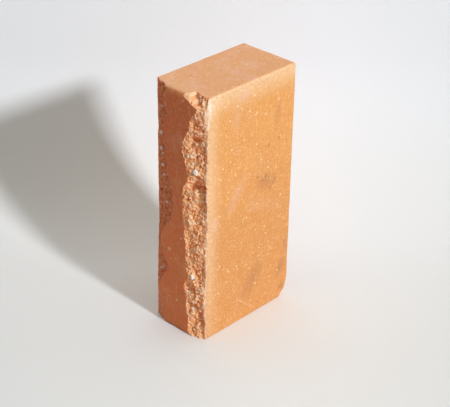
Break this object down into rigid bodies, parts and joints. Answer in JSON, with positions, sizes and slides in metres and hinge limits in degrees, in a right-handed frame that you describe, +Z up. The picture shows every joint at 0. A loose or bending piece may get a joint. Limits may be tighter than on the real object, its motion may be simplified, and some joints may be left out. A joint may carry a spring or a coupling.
{
  "type": "hyper-pressed facing brick",
  "caption": "Solid hyper-pressed facing brick for outer walls, with smooth pressed faces and rough, torn long edges along its outer stretcher.",
  "frame": {"origin": "middle of the lower header, on the level that the brick stands on", "axes": "+Z up along the brick's length, +Y from the torn facing stretcher to the plain back stretcher, +X from one bed to the other, towards the bed that the picture shows"},
  "size_m": [0.065, 0.12, 0.25],
  "materials": {
    "pressed_brick": "matte"
  },
  "bodies": {
    "root": {"brick": "pressed_brick"}
  },
  "joints": []
}
